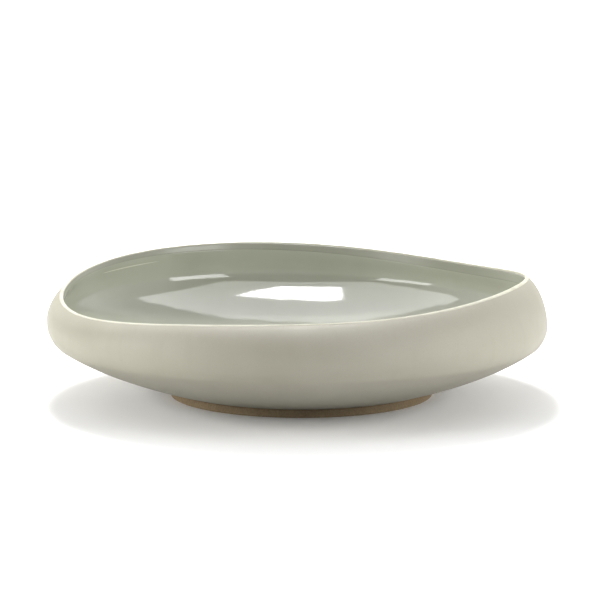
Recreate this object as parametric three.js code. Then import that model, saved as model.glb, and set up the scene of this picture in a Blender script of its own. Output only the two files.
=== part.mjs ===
// Wide shallow stoneware bowl whose collar leans in to a wavy rim.
// Millimetres, +Z up. The origin lies on the ground under the centre of the widest circle.
// Angles run from +X, the right-hand side, towards +Y, the back.

import * as THREE from 'three';
import { mergeVertices } from 'three/addons/utils/BufferGeometryUtils.js';

const degree = Math.PI / 180;

// Foot ring
const footRadius = 89.5;
const footTaper = 1;
const footTopRadius = footRadius - footTaper;
const footWidth = 11;
const footHeight = 5;
const footBevel = 0.8;

// Belly, the widest circle
const bellyRadius = 170;
const bellyHeight = 50;

// Crease where the underside turns up into the belly, measured from the belly
const creaseInset = 6;
const creaseDrop = 13.6;

// Slopes of the wall's outer face, from the level
const footSlope = 14 * degree;
const creaseSlopeBelow = 35 * degree;
const creaseSlopeAbove = 40 * degree;
const upright = 90 * degree;
const lipSlope = 142 * degree;

// Lip, measured from the belly
const lipInset = 11;
const rimRise = 26.5;
const lipThickness = 1.8;
const lipCrown = 0.4;

// Waves that make the rim uneven, from one to four of them round the bowl
const tiltRise = 6.2;
const saddleRise = 4.6;
const threefoldRise = 1.8;
const fourfoldRise = 1.1;
const rimWaves = [
  { count: 1, rise: tiltRise, crest: 52 * degree },
  { count: 2, rise: saddleRise, crest: -52 * degree },
  { count: 3, rise: threefoldRise, crest: -3 * degree },
  { count: 4, rise: fourfoldRise, crest: -17 * degree },
];

// Bevel just inside the lip, tallest on the right
const bevelHeight = 5.6;
const bevelSwing = 2.2;
const bevelLean = 0.8;
const ridgeSlope = -65 * degree;

// Sideways shifts of the circles from the belly's centre
const footShift = 2.8;
const rimShift = -2.3;

// Inside, from a tight cove under the collar, which follows the rim, down to the level floor
const coveInset = 8.5;
const coveRise = 8;
const floorRadius = 85;
const floorThickness = 7.7;
const floorEdgeSlope = 190 * degree;

// Glazes and the gaps between the pieces
const coatThickness = 0.6;
const rimGlazeThickness = 0.6;
const glazeThickness = 0.7;
const bareStrip = 2;
const lipBand = 1;
const clearance = 0.4;
const ridgeGap = 0.5;

// Handle lengths of the section's curves, as shares of the chord
const undersidePulls = [0.15, 0.35];
const turnPulls = [0.2, 0.45];
const collarPulls = [0.45, 0.25];
const innerCollarPulls = [0.3, 0.35];
const innerWallPulls = [0.14, 0.4];

// Facets round the bowl and along each curve of its section
const stepsRound = 48;
const undersideSteps = 6;
const turnSteps = 3;
const collarSteps = 5;
const innerWallSteps = 9;

function topOfRim(angle) {
  let height = bellyHeight + rimRise;
  for (const wave of rimWaves) {
    height += wave.rise * Math.cos(wave.count * (angle - wave.crest));
  }
  return height;
}

// A curve that leaves and arrives at given slopes
function bend(start, startSlope, end, endSlope, pulls) {
  const chord = start.distanceTo(end);
  const leave = new THREE.Vector2(Math.cos(startSlope), Math.sin(startSlope));
  const arrive = new THREE.Vector2(Math.cos(endSlope), Math.sin(endSlope));
  const startHandle = start.clone().addScaledVector(leave, pulls[0] * chord);
  const endHandle = end.clone().addScaledVector(arrive, -pulls[1] * chord);
  return new THREE.CubicBezierCurve(start, startHandle, endHandle, end);
}

// The wall's section at one angle, as (radius, height) curves with the clay on their left
function wallCurves(angle) {
  const lipHeight = topOfRim(angle) - lipCrown;
  const foot = new THREE.Vector2(footTopRadius, footHeight + clearance);
  const crease = new THREE.Vector2(bellyRadius - creaseInset, bellyHeight - creaseDrop);
  const belly = new THREE.Vector2(bellyRadius, bellyHeight);
  const lip = new THREE.Vector2(bellyRadius - lipInset, lipHeight);
  const lipInside = new THREE.Vector2(lip.x - lipThickness, lipHeight);
  const ridgeHeight = lipHeight - bevelHeight - bevelSwing * Math.cos(angle);
  const ridge = new THREE.Vector2(lipInside.x - bevelLean, ridgeHeight);
  const meanRidgeRise = rimRise - lipCrown - bevelHeight;
  const coveHeight = bellyHeight + (coveRise * (ridgeHeight - bellyHeight)) / meanRidgeRise;
  const cove = new THREE.Vector2(bellyRadius - coveInset, coveHeight);
  const floorEdge = new THREE.Vector2(floorRadius, footHeight + clearance + floorThickness);
  return {
    underside: bend(foot, footSlope, crease, creaseSlopeBelow, undersidePulls),
    turn: bend(crease, creaseSlopeAbove, belly, upright, turnPulls),
    collar: bend(belly, upright, lip, lipSlope, collarPulls),
    bevel: new THREE.LineCurve(lipInside, ridge),
    innerCollar: bend(ridge, ridgeSlope, cove, -upright, innerCollarPulls),
    innerWall: bend(cove, -upright, floorEdge, floorEdgeSlope, innerWallPulls),
  };
}

// A point a share of the way along a curve, moved into the clay by a depth
function pointOn(curve, share, depth) {
  const point = curve.getPointAt(share);
  const along = curve.getTangentAt(share);
  return new THREE.Vector2(point.x - along.y * depth, point.y + along.x * depth);
}

function trace(curve, from, to, steps, depth) {
  const points = [];
  for (let step = 0; step <= steps; step += 1) {
    const share = THREE.MathUtils.lerp(from, to, step / steps);
    points.push(pointOn(curve, share, depth));
  }
  return points;
}

// The outer face from a gap above the foot to a gap below the lip
function outerFace(curves, gap, depth) {
  const bottom = (bareStrip + gap) / curves.underside.getLength();
  const top = 1 - (lipBand + gap) / curves.collar.getLength();
  return [
    ...trace(curves.underside, bottom, 1, undersideSteps, depth),
    ...trace(curves.turn, 1 / turnSteps, 1, turnSteps - 1, depth),
    ...trace(curves.collar, 1 / collarSteps, top, collarSteps - 1, depth),
  ];
}

// The inner face from the ridge down to the floor's edge, and the floor's centre
function innerFace(curves, gap, depth) {
  const top = gap / curves.innerCollar.getLength();
  const wall = [
    ...trace(curves.innerCollar, top, 1, collarSteps, depth),
    ...trace(curves.innerWall, 1 / innerWallSteps, 1, innerWallSteps - 1, depth),
  ];
  const floorEdge = wall[wall.length - 1];
  return [...wall, new THREE.Vector2(0, floorEdge.y)];
}

function bevelFace(curves, gap, depth) {
  const top = (lipBand + gap) / curves.bevel.getLength();
  return trace(curves.bevel, top, 1, 1, depth);
}

function clayOutline(angle) {
  const curves = wallCurves(angle);
  const lipEdge = pointOn(curves.collar, 1, 0);
  return [
    new THREE.Vector2(0, footHeight + clearance),
    pointOn(curves.underside, 0, 0),
    pointOn(curves.underside, bareStrip / curves.underside.getLength(), 0),
    ...outerFace(curves, 0, coatThickness + clearance),
    pointOn(curves.collar, 1 - lipBand / curves.collar.getLength(), 0),
    lipEdge,
    new THREE.Vector2(lipEdge.x - lipThickness / 2, lipEdge.y + lipCrown),
    pointOn(curves.bevel, 0, 0),
    pointOn(curves.bevel, lipBand / curves.bevel.getLength(), 0),
    ...bevelFace(curves, 0, rimGlazeThickness + clearance),
    ...innerFace(curves, ridgeGap, glazeThickness + clearance),
  ];
}

function coatOutline(angle) {
  const curves = wallCurves(angle);
  const hidden = outerFace(curves, clearance, coatThickness).reverse();
  return [...outerFace(curves, clearance, 0), ...hidden];
}

function rimGlazeOutline(angle) {
  const curves = wallCurves(angle);
  const hidden = bevelFace(curves, clearance, rimGlazeThickness).reverse();
  return [...bevelFace(curves, clearance, 0), ...hidden];
}

function glazeOutline(angle) {
  const curves = wallCurves(angle);
  const hidden = innerFace(curves, ridgeGap, glazeThickness).reverse();
  return [...hidden, ...innerFace(curves, ridgeGap, 0)];
}

function footOutline() {
  const innerRadius = footTopRadius - footWidth;
  return [
    new THREE.Vector2(innerRadius + footBevel, 0),
    new THREE.Vector2(footRadius - footBevel, 0),
    new THREE.Vector2(footRadius, footBevel),
    new THREE.Vector2(footTopRadius, footHeight),
    new THREE.Vector2(innerRadius, footHeight),
    new THREE.Vector2(innerRadius, footBevel),
  ];
}

// Sideways place of the circle at a height: none at the belly, growing to the foot and the rim
function centreAt(height) {
  const rise = height - bellyHeight;
  return rise < 0 ? (-footShift * rise) / bellyHeight : (rimShift * rise) / rimRise;
}

// Carries an outline round the bowl, with the clay on the outline's left
function carriedRound(outlineAt) {
  const positions = [];
  for (let step = 0; step < stepsRound; step += 1) {
    const angle = (step / stepsRound) * 2 * Math.PI;
    for (const point of outlineAt(angle)) {
      positions.push(centreAt(point.y) + point.x * Math.cos(angle));
      positions.push(point.x * Math.sin(angle));
      positions.push(point.y);
    }
  }
  const count = positions.length / 3 / stepsRound;
  const faces = [];
  for (let step = 0; step < stepsRound; step += 1) {
    const here = step * count;
    const next = ((step + 1) % stepsRound) * count;
    for (let place = 0; place < count; place += 1) {
      const above = (place + 1) % count;
      faces.push(here + place, next + place, next + above);
      faces.push(here + place, next + above, here + above);
    }
  }
  const grid = new THREE.BufferGeometry();
  grid.setAttribute('position', new THREE.Float32BufferAttribute(positions, 3));
  grid.setIndex(faces);
  return withoutFlatFaces(mergeVertices(grid, 1e-4));
}

// Drops the faces that shrink to a line where an outline meets the axis
function withoutFlatFaces(geometry) {
  const corners = geometry.getIndex().array;
  const kept = [];
  const seen = new Set();
  for (let start = 0; start < corners.length; start += 3) {
    const [a, b, c] = corners.slice(start, start + 3);
    const name = [a, b, c].sort((left, right) => left - right).join(' ');
    if (a !== b && b !== c && c !== a && !seen.has(name)) {
      kept.push(a, b, c);
      seen.add(name);
    }
  }
  geometry.setIndex(kept);
  geometry.computeVertexNormals();
  return geometry;
}

function piece(name, outlineAt, color, roughness) {
  const material = new THREE.MeshStandardMaterial({ color, roughness, metalness: 0 });
  const mesh = new THREE.Mesh(carriedRound(outlineAt), material);
  mesh.name = name;
  return mesh;
}

const bowl = new THREE.Group();
bowl.name = 'bowl';
bowl.add(piece('clay_body', clayOutline, 0xe6e1d2, 0.8));
bowl.add(piece('foot_ring', footOutline, 0x5a5142, 0.9));
bowl.add(piece('outer_coat', coatOutline, 0xc6c3b4, 0.65));
bowl.add(piece('rim_glaze', rimGlazeOutline, 0xa3a497, 0.3));
bowl.add(piece('inner_glaze', glazeOutline, 0x9d9f8f, 0.12));

export default bowl;
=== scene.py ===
"""A wide shallow stoneware bowl with a wavy rim that leans in, seen from a little above."""

from math import atan2, cos, hypot, pi, radians, sin

import bmesh
import bpy
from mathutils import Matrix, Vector
from mathutils.geometry import interpolate_bezier


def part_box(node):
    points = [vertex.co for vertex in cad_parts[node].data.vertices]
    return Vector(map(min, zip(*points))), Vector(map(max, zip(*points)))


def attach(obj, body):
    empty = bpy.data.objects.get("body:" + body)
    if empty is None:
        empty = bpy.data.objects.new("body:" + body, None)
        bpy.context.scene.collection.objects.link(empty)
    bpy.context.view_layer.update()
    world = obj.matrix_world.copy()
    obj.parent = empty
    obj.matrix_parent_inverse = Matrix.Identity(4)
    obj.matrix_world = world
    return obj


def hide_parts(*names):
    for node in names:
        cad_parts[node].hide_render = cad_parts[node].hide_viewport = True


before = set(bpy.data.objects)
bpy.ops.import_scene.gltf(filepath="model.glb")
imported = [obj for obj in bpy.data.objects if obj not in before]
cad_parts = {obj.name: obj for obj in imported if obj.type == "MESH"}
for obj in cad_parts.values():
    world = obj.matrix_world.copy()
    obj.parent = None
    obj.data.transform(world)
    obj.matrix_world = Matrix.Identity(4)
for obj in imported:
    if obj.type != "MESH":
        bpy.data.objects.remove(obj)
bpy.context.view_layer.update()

MM = 0.001

# Sizes read from the frame
BELLY_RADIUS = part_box("outer_coat")[1][1]
FOOT_LOW, FOOT_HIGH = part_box("foot_ring")
FOOT_RADIUS = FOOT_HIGH[1]
FOOT_HEIGHT = FOOT_HIGH[2]

# Section of the wall, as in the solids
JOINT_GAP = 0.4 * MM
FOOT_TOP_RADIUS = FOOT_RADIUS - 1 * MM
FOOT_WIDTH = 11 * MM
FOOT_ROUNDING = 0.8 * MM
BELLY_HEIGHT = 50 * MM
CREASE_INSET = 6 * MM
CREASE_DROP = 13.6 * MM
LIP_INSET = 11 * MM
RIM_RISE = 26.5 * MM
LIP_CROWN = 0.4 * MM
LIP_THICKNESS = 1.8 * MM
BEVEL_HEIGHT = 5.6 * MM
BEVEL_SWING = 2.2 * MM
BEVEL_LEAN = 0.8 * MM
COVE_INSET = 8.5 * MM
COVE_RISE = 8 * MM
FLOOR_RADIUS = 85 * MM
FLOOR_THICKNESS = 7.7 * MM
FOOT_SHIFT = 2.8 * MM
RIM_SHIFT = -2.3 * MM
FLOOR_CENTRE = 12 * MM

# Slopes of the section's lines, in degrees from the level
FOOT_SLOPE = 14
CREASE_SLOPE_BELOW = 35
CREASE_SLOPE_ABOVE = 40
UPRIGHT = 90
LIP_SLOPE = 142
LIP_TOP_END_SLOPE = 260
RIDGE_SLOPE = -65
FLOOR_EDGE_SLOPE = 190
LEVEL_INWARD = 180

# The rim's waves: count, rise, and the angle of a crest
RIM_WAVES = (
    (1, 6.2 * MM, radians(52)),
    (2, 4.6 * MM, radians(-52)),
    (3, 1.8 * MM, radians(-3)),
    (4, 1.1 * MM, radians(-17)),
)

# Thickness of the glaze skins, the depth of their beds, and where they stop
SKIN = 0.9 * MM
BED = 0.95 * MM
LIP_BAND = 0.8 * MM
BARE_STRIP = 2 * MM
HAIRLINE = 0.04 * MM

# Fineness of the meshes
STEPS_ROUND = 240
BEVEL_STEPS = 8
FOOT_WALL_STEPS = 6
FOOT_ROUNDING_POINTS = 6
WELD = 0.002 * MM
FLAT = 0.001 * MM


def slope(degrees):
    """A direction in the section, counted from the level."""
    angle = radians(degrees)
    return Vector((cos(angle), 0, sin(angle)))


def spot(radius, height):
    return Vector((radius, 0, height))


def bend(start, leave, end, arrive, pulls, points):
    """A curve from start to end that leaves and arrives along the given slopes."""
    chord = (end - start).length
    start_handle = start + slope(leave) * pulls[0] * chord
    end_handle = end - slope(arrive) * pulls[1] * chord
    return interpolate_bezier(start, start_handle, end_handle, end, points)


def straight(start, end, steps):
    return [start.lerp(end, share / steps) for share in range(steps + 1)]


def chained(*runs):
    """Runs of points joined end to end, without the doubled points."""
    joined = list(runs[0])
    for run in runs[1:]:
        joined += list(run)[1:]
    return joined


def sunk(points, depth):
    """The same run of points, moved to its left by a depth."""
    moved = []
    for place, point in enumerate(points):
        before = points[max(place - 1, 0)]
        after = points[min(place + 1, len(points) - 1)]
        along = (after - before).normalized()
        moved.append(point + Vector((-along.z, 0, along.x)) * depth)
    return moved


def shortened(points, length):
    """The run without its first stretch of that length."""
    left = length
    for place in range(len(points) - 1):
        step = (points[place + 1] - points[place]).length
        if step > left:
            start = points[place].lerp(points[place + 1], left / step)
            return [start] + list(points[place + 1:])
        left -= step
    return [points[-1]]


def trimmed(points, at_start, at_end):
    cut = shortened(points, at_start)
    cut = shortened(cut[::-1], at_end)
    return cut[::-1]


# The section's lines, travelled with the clay on their left
joint = spot(FOOT_TOP_RADIUS, FOOT_HEIGHT + JOINT_GAP)
crease = spot(BELLY_RADIUS - CREASE_INSET, BELLY_HEIGHT - CREASE_DROP)
belly = spot(BELLY_RADIUS, BELLY_HEIGHT)
lip_edge = spot(BELLY_RADIUS - LIP_INSET, BELLY_HEIGHT + RIM_RISE - LIP_CROWN)
lip_inside = spot(lip_edge.x - LIP_THICKNESS, lip_edge.z)
ridge = spot(lip_inside.x - BEVEL_LEAN, lip_inside.z - BEVEL_HEIGHT)
cove = spot(BELLY_RADIUS - COVE_INSET, BELLY_HEIGHT + COVE_RISE)
floor_edge = spot(FLOOR_RADIUS, FOOT_HEIGHT + JOINT_GAP + FLOOR_THICKNESS)
floor_centre = spot(0, FLOOR_CENTRE)

underside = bend(joint, FOOT_SLOPE, crease, CREASE_SLOPE_BELOW, pulls=(0.15, 0.35), points=30)
turn = bend(crease, CREASE_SLOPE_ABOVE, belly, UPRIGHT, pulls=(0.2, 0.45), points=16)
collar = bend(belly, UPRIGHT, lip_edge, LIP_SLOPE, pulls=(0.45, 0.25), points=24)
lip_top = bend(lip_edge, LIP_SLOPE, lip_inside, LIP_TOP_END_SLOPE, pulls=(0.35, 0.35), points=9)
bevel = straight(lip_inside, ridge, BEVEL_STEPS)
inner_collar = bend(ridge, RIDGE_SLOPE, cove, -UPRIGHT, pulls=(0.3, 0.35), points=24)
inner_wall = bend(cove, -UPRIGHT, floor_edge, FLOOR_EDGE_SLOPE, pulls=(0.14, 0.4), points=48)
floor = bend(floor_edge, FLOOR_EDGE_SLOPE, floor_centre, LEVEL_INWARD, pulls=(0.35, 0.35), points=14)

outside = chained(underside, turn, collar)
inside = chained(inner_collar, inner_wall, floor)


def top_of_rim(angle):
    height = BELLY_HEIGHT + RIM_RISE
    for count, rise, crest in RIM_WAVES:
        height += rise * cos(count * (angle - crest))
    return height


def stretched(height, angle, within):
    """Height of a point once the level section is drawn up to the wavy rim."""
    if height <= BELLY_HEIGHT:
        return height
    rim = top_of_rim(angle)
    if not within:
        share = (height - BELLY_HEIGHT) / RIM_RISE
        return BELLY_HEIGHT + share * (rim - BELLY_HEIGHT)
    ridge_here = rim - LIP_CROWN - BEVEL_HEIGHT - BEVEL_SWING * cos(angle)
    if height <= ridge.z:
        share = (height - BELLY_HEIGHT) / (ridge.z - BELLY_HEIGHT)
        return BELLY_HEIGHT + share * (ridge_here - BELLY_HEIGHT)
    share = (height - ridge.z) / (BELLY_HEIGHT + RIM_RISE - ridge.z)
    return ridge_here + share * (rim - ridge_here)


def centre_at(height):
    """Sideways place of the circle at a height: none at the belly, growing to the foot and the rim."""
    rise = height - BELLY_HEIGHT
    if rise < 0:
        return -FOOT_SHIFT * rise / BELLY_HEIGHT
    return RIM_SHIFT * rise / RIM_RISE


def spun(name, outline, node, material, inside_radius=0.0):
    """A closed outline spun round the axis, then drawn up to the wavy rim."""
    mesh_maker = bmesh.new()
    verts = [mesh_maker.verts.new(point) for point in outline]
    edges = [mesh_maker.edges.new(pair) for pair in zip(verts, verts[1:])]
    if outline[0].x > 0:
        edges.append(mesh_maker.edges.new((verts[-1], verts[0])))
    bmesh.ops.spin(
        mesh_maker,
        geom=verts + edges,
        cent=(0, 0, 0),
        axis=(0, 0, 1),
        angle=2 * pi,
        steps=STEPS_ROUND,
        use_merge=True,
    )
    bmesh.ops.remove_doubles(mesh_maker, verts=mesh_maker.verts, dist=WELD)
    bmesh.ops.dissolve_degenerate(mesh_maker, edges=mesh_maker.edges, dist=FLAT)
    for vert in mesh_maker.verts:
        radius = hypot(vert.co.x, vert.co.y)
        angle = atan2(vert.co.y, vert.co.x)
        within = radius < inside_radius
        vert.co.z = stretched(vert.co.z, angle, within)
        vert.co.x += centre_at(vert.co.z)
    bmesh.ops.recalc_face_normals(mesh_maker, faces=mesh_maker.faces)
    for face in mesh_maker.faces:
        face.smooth = True
    mesh = bpy.data.meshes.new(name)
    mesh_maker.to_mesh(mesh)
    mesh_maker.free()
    piece = bpy.data.objects.new(name, mesh)
    bpy.context.scene.collection.objects.link(piece)
    mesh.materials.append(material)
    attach(piece, "root")
    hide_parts(node)


# Materials

SCREEN_WHITE = 255


def colour(red, green, blue):
    """A colour given as it looks on a screen, from 0 to 255."""
    parts = []
    for value in (red, green, blue):
        share = value / SCREEN_WHITE
        parts.append(share / 12.92 if share <= 0.04045 else ((share + 0.055) / 1.055) ** 2.4)
    return (*parts, 1)


class Finish:
    """A node material on the object's own coordinates."""

    def __init__(self, name, roughness, specular):
        self.material = bpy.data.materials.new(name)
        self.material.use_nodes = True
        self.nodes = self.material.node_tree.nodes
        self.links = self.material.node_tree.links
        self.shader = self.nodes["Principled BSDF"]
        self.shader.inputs["Roughness"].default_value = roughness
        self.shader.inputs["Specular IOR Level"].default_value = specular
        self.place = self.nodes.new("ShaderNodeTexCoord").outputs["Object"]

    def scaled(self, scale):
        """The object's coordinates, drawn out along an axis."""
        mapping = self.nodes.new("ShaderNodeMapping")
        mapping.inputs["Scale"].default_value = scale
        self.links.new(self.place, mapping.inputs["Vector"])
        return mapping.outputs["Vector"]

    def noise(self, scale, detail, place=None):
        node = self.nodes.new("ShaderNodeTexNoise")
        node.inputs["Scale"].default_value = scale
        node.inputs["Detail"].default_value = detail
        self.links.new(place or self.place, node.inputs["Vector"])
        return node.outputs["Fac"]

    def ramp(self, value, low, high):
        """0 below low and 1 above high, or the other way round."""
        node = self.nodes.new("ShaderNodeMapRange")
        node.interpolation_type = "SMOOTHSTEP"
        node.inputs["From Min"].default_value = low
        node.inputs["From Max"].default_value = high
        self.links.new(value, node.inputs["Value"])
        return node.outputs["Result"]

    def times(self, first, second):
        node = self.nodes.new("ShaderNodeMath")
        node.operation = "MULTIPLY"
        self.links.new(first, node.inputs[0])
        if isinstance(second, float):
            node.inputs[1].default_value = second
        else:
            self.links.new(second, node.inputs[1])
        return node.outputs["Value"]

    def mixed(self, share, first, second):
        """Two colours mixed, each of them fixed or the result of other nodes."""
        node = self.nodes.new("ShaderNodeMix")
        node.data_type = "RGBA"
        self.links.new(share, node.inputs["Factor"])
        for socket, value in ((node.inputs[6], first), (node.inputs[7], second)):
            if isinstance(value, tuple):
                socket.default_value = value
            else:
                self.links.new(value, socket)
        return node.outputs[2]

    def specks(self, cells, size):
        """Sparse round dots: a cell's middle, in the few cells picked by their own colour."""
        cell = self.nodes.new("ShaderNodeTexVoronoi")
        cell.inputs["Scale"].default_value = cells
        self.links.new(self.place, cell.inputs["Vector"])
        dot = self.ramp(cell.outputs["Distance"], size, size * 0.4)
        split = self.nodes.new("ShaderNodeSeparateColor")
        self.links.new(cell.outputs["Color"], split.inputs["Color"])
        picked = self.ramp(split.outputs["Red"], 0.8, 0.82)
        return self.times(dot, picked)

    def height(self):
        split = self.nodes.new("ShaderNodeSeparateXYZ")
        self.links.new(self.place, split.inputs["Vector"])
        return split.outputs["Z"]

    def coloured(self, value):
        self.links.new(value, self.shader.inputs["Base Color"])

    def bumped(self, value, strength, distance):
        """A bump laid over the bumps that the material already has."""
        node = self.nodes.new("ShaderNodeBump")
        node.inputs["Strength"].default_value = strength
        node.inputs["Distance"].default_value = distance
        self.links.new(value, node.inputs["Height"])
        previous = self.shader.inputs["Normal"].links
        if previous:
            self.links.new(previous[0].from_socket, node.inputs["Normal"])
        self.links.new(node.outputs["Normal"], self.shader.inputs["Normal"])

    def roughened(self, value, low, high):
        node = self.nodes.new("ShaderNodeMapRange")
        node.inputs["To Min"].default_value = low
        node.inputs["To Max"].default_value = high
        self.links.new(value, node.inputs["Value"])
        self.links.new(node.outputs["Result"], self.shader.inputs["Roughness"])


def matt_coat():
    """Warm beige-grey, with faint upright streaks, a fine grain and a few brown specks."""
    finish = Finish("matt_coat", roughness=0.55, specular=0.3)
    drift = finish.ramp(finish.noise(scale=9.0, detail=3.0), low=0.35, high=0.65)
    base = finish.mixed(drift, colour(143, 140, 126), colour(150, 147, 134))
    drawn_out = finish.scaled((170, 170, 14))
    streaks = finish.ramp(finish.noise(scale=1.0, detail=5.0, place=drawn_out), low=0.5, high=0.75)
    base = finish.mixed(finish.times(streaks, 0.12), base, colour(134, 130, 116))
    grain = finish.noise(scale=1400.0, detail=2.0)
    dark_grain = finish.times(finish.ramp(grain, low=0.55, high=0.75), 0.25)
    base = finish.mixed(dark_grain, base, colour(130, 126, 112))
    base = finish.mixed(finish.specks(cells=55.0, size=0.035), base, colour(140, 118, 90))
    finish.coloured(base)
    finish.roughened(finish.noise(scale=40.0, detail=4.0), low=0.46, high=0.64)
    finish.bumped(grain, strength=0.12, distance=0.15 * MM)
    finish.bumped(finish.noise(scale=60.0, detail=3.0), strength=0.08, distance=0.5 * MM)
    return finish.material


def gloss_liner():
    """Glossy grey-green, with slow waves in its surface that break up the reflections."""
    finish = Finish("gloss_liner", roughness=0.07, specular=0.6)
    drift = finish.ramp(finish.noise(scale=11.0, detail=4.0), low=0.35, high=0.7)
    base = finish.mixed(drift, colour(152, 154, 140), colour(160, 162, 149))
    base = finish.mixed(finish.specks(cells=70.0, size=0.04), base, colour(104, 92, 70))
    finish.coloured(base)
    finish.roughened(finish.noise(scale=120.0, detail=3.0), low=0.04, high=0.12)
    finish.bumped(finish.noise(scale=16.0, detail=2.0), strength=0.45, distance=2.2 * MM)
    finish.bumped(finish.noise(scale=48.0, detail=2.0), strength=0.2, distance=0.6 * MM)
    finish.bumped(finish.noise(scale=500.0, detail=2.0), strength=0.03, distance=0.2 * MM)
    return finish.material


def satin_rim():
    """The greyer, less glossy glaze on the bevel."""
    finish = Finish("satin_rim", roughness=0.25, specular=0.3)
    drift = finish.ramp(finish.noise(scale=12.0, detail=2.0), low=0.35, high=0.7)
    base = finish.mixed(drift, colour(136, 137, 124), colour(145, 146, 134))
    base = finish.mixed(finish.specks(cells=60.0, size=0.04), base, colour(92, 80, 60))
    finish.coloured(base)
    finish.roughened(finish.noise(scale=60.0, detail=3.0), low=0.16, high=0.26)
    finish.bumped(finish.noise(scale=40.0, detail=2.0), strength=0.1, distance=0.3 * MM)
    return finish.material


def fired_clay(name, pale_above):
    """Bare clay: brown low down; at the lip pale beige, which is the coat's own tone painted lighter
    than the coat as a painted highlight on the lip's rounding.
    """
    finish = Finish(name, roughness=0.85, specular=0.25)
    grain = finish.noise(scale=900.0, detail=6.0)
    grain_share = finish.ramp(grain, low=0.3, high=0.7)
    brown = finish.mixed(grain_share, colour(118, 102, 78), colour(134, 118, 92))
    brown = finish.mixed(finish.specks(cells=160.0, size=0.08), brown, colour(60, 50, 38))
    cloud = finish.ramp(finish.noise(scale=90.0, detail=4.0), low=0.4, high=0.7)
    # The lip's pale beige: the coat's own colour, painted lighter than the coat as a painted highlight
    # on the lip's rounding.
    lip_beige_and_highlight = finish.mixed(cloud, colour(190, 188, 174), colour(180, 177, 162))
    level = finish.ramp(finish.height(), low=pale_above, high=pale_above + 20 * MM)
    finish.coloured(finish.mixed(level, brown, lip_beige_and_highlight))
    finish.bumped(grain, strength=0.35, distance=0.25 * MM)
    return finish.material


# Pieces

PALE_ABOVE = 20 * MM
NEVER_PALE = 200 * MM


def make_coat():
    face = trimmed(outside, BARE_STRIP + HAIRLINE, LIP_BAND + HAIRLINE)
    outline = face + sunk(face, SKIN)[::-1]
    spun("matt_outer_coat", outline, "outer_coat", matt_coat())


def make_rim_glaze():
    face = trimmed(bevel, LIP_BAND + HAIRLINE, 0)
    outline = face + sunk(face, SKIN)[::-1]
    spun("rim_bevel_glaze", outline, "rim_glaze", satin_rim(), BELLY_RADIUS)


def make_liner():
    face = shortened(inside, HAIRLINE)
    hidden = sunk(face, SKIN)[::-1]
    hidden[0].x = 0
    spun("gloss_liner", hidden + face, "inner_glaze", gloss_liner(), BELLY_RADIUS)


def make_clay():
    outer_bed = sunk(trimmed(outside, BARE_STRIP, LIP_BAND), BED)
    strip_end = shortened(outside, BARE_STRIP)[0]
    lip_start = trimmed(outside, 0, LIP_BAND)[-1]
    bevel_bed = sunk(trimmed(bevel, LIP_BAND, 0), BED)
    inner_bed = sunk(inside, BED)
    inner_bed[-1].x = 0
    outline = [spot(0, joint.z), joint, strip_end]
    outline += outer_bed
    outline += [lip_start] + lip_top + [shortened(bevel, LIP_BAND)[0]]
    outline += bevel_bed[:-1] + inner_bed[1:]
    lip_middle = lip_edge.x - LIP_THICKNESS / 2
    spun("clay_shell", outline, "clay_body", fired_clay("fired_clay", PALE_ABOVE), lip_middle)


def make_foot():
    inner = FOOT_TOP_RADIUS - FOOT_WIDTH
    top = FOOT_HEIGHT + JOINT_GAP - HAIRLINE
    outer_low = spot(FOOT_RADIUS - FOOT_ROUNDING, 0)
    outer_side = spot(FOOT_RADIUS, FOOT_ROUNDING)
    inner_side = spot(inner, FOOT_ROUNDING)
    inner_low = spot(inner + FOOT_ROUNDING, 0)
    halves = (0.5, 0.5)
    outer_corner = bend(outer_low, 0, outer_side, UPRIGHT, halves, FOOT_ROUNDING_POINTS)
    inner_corner = bend(inner_side, -UPRIGHT, inner_low, 0, halves, FOOT_ROUNDING_POINTS)
    outer_wall = straight(outer_side, spot(FOOT_TOP_RADIUS, top), FOOT_WALL_STEPS)
    outline = outer_corner + outer_wall[1:] + [spot(inner, top)] + inner_corner
    spun("foot", outline, "foot_ring", fired_clay("foot_clay", NEVER_PALE))


make_coat()
make_rim_glaze()
make_liner()
make_clay()
make_foot()


# Studio, in metres and watts

FLOOR_HALF = 1.15
BOWL_MIDDLE = (0, 0, 0.05)
WHITE = (1, 1, 1, 1)


def make_floor():
    maker = bmesh.new()
    bmesh.ops.create_grid(maker, x_segments=1, y_segments=1, size=FLOOR_HALF)
    mesh = bpy.data.meshes.new("studio_floor")
    maker.to_mesh(mesh)
    maker.free()
    ground = bpy.data.objects.new("studio_floor", mesh)
    bpy.context.scene.collection.objects.link(ground)
    finish = Finish("white_floor", roughness=0.9, specular=0.1)
    finish.shader.inputs["Base Color"].default_value = (0.95, 0.95, 0.95, 1)
    mesh.materials.append(finish.material)


def soft_light(name, place, size, watts, aim=BOWL_MIDDLE, lights=True, mirrored=True):
    """A soft panel that lights the surfaces, shows as a reflection in them, or both."""
    lamp = bpy.data.lights.new(name, "AREA")
    lamp.shape = "RECTANGLE"
    lamp.size, lamp.size_y = size
    lamp.energy = watts
    holder = bpy.data.objects.new(name, lamp)
    holder.location = place
    holder.rotation_euler = (Vector(aim) - Vector(place)).to_track_quat("-Z", "Y").to_euler()
    holder.visible_diffuse = lights
    holder.visible_glossy = mirrored
    bpy.context.scene.collection.objects.link(holder)


def make_camera():
    distance = 1.7
    elevation = radians(10.8)
    frame_pixels = 600
    focal_pixels = 2480
    aim = Vector((1.85 * MM, 0, 64 * MM))
    data = bpy.data.cameras.new("camera")
    data.sensor_width = 36
    data.lens = focal_pixels * data.sensor_width / frame_pixels
    camera = bpy.data.objects.new("camera", data)
    camera.location = (0, -distance * cos(elevation), distance * sin(elevation))
    camera.rotation_euler = (aim - camera.location).to_track_quat("-Z", "Y").to_euler()
    bpy.context.scene.collection.objects.link(camera)
    bpy.context.scene.camera = camera


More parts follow.
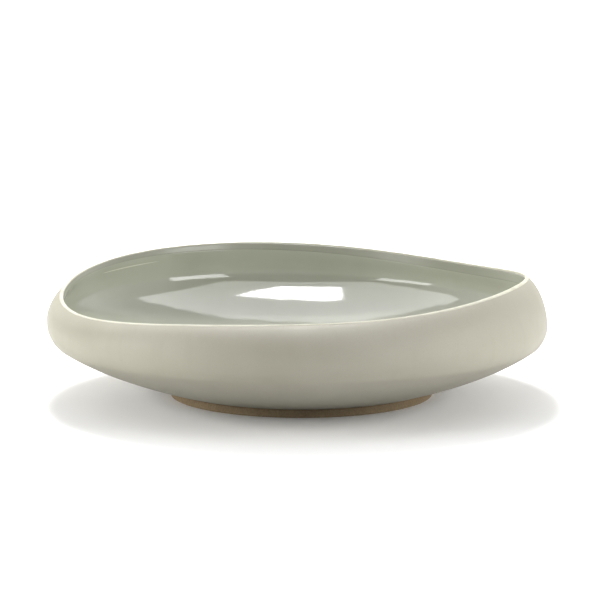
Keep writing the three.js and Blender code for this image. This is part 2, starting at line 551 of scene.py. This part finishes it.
def make_lights():
    """Four panels that only show as reflections, then three that only light the surfaces."""
    soft_light("window", (-0.03, -0.14, 1.5), (0.62, 0.88), 36, lights=False)
    soft_light("ceiling", (0, -0.3, 1.6), (2.8, 2.4), 72, aim=(0, -0.3, 0), lights=False)
    soft_light("left_streak", (-1.45, -0.85, 0.5), (1.0, 0.7), 15, lights=False)
    soft_light("right_streak", (1.25, -0.9, 0.4), (0.9, 0.6), 13, lights=False)
    soft_light("high_behind", (-0.1, 0.85, 1.25), (0.5, 0.4), 32, mirrored=False)
    soft_light("left", (-1.45, -0.45, 0.5), (1.0, 0.7), 24, mirrored=False)
    soft_light("right", (1.45, -0.45, 0.5), (1.0, 0.7), 20, mirrored=False)


def make_world():
    """A white room that is darker on the camera's side, and plain white where the camera looks."""
    world = bpy.data.worlds.new("white_room")
    world.use_nodes = True
    nodes = world.node_tree.nodes
    links = world.node_tree.links
    room = nodes["Background"]
    split = nodes.new("ShaderNodeSeparateXYZ")
    links.new(nodes.new("ShaderNodeTexCoord").outputs["Generated"], split.inputs["Vector"])
    depth = nodes.new("ShaderNodeMapRange")
    depth.inputs["From Min"].default_value = -0.7
    depth.inputs["From Max"].default_value = 0.4
    depth.inputs["To Min"].default_value = 0.05
    depth.inputs["To Max"].default_value = 1.05
    links.new(split.outputs["Y"], depth.inputs["Value"])
    links.new(depth.outputs["Result"], room.inputs["Strength"])
    room.inputs["Color"].default_value = WHITE
    backdrop = nodes.new("ShaderNodeBackground")
    backdrop.inputs["Color"].default_value = WHITE
    backdrop.inputs["Strength"].default_value = 1.1
    choice = nodes.new("ShaderNodeMixShader")
    links.new(nodes.new("ShaderNodeLightPath").outputs["Is Camera Ray"], choice.inputs["Fac"])
    links.new(room.outputs["Background"], choice.inputs[1])
    links.new(backdrop.outputs["Background"], choice.inputs[2])
    links.new(choice.outputs["Shader"], nodes["World Output"].inputs["Surface"])
    bpy.context.scene.world = world


make_floor()
make_camera()
make_lights()
make_world()
bpy.context.scene.view_settings.view_transform = "Standard"
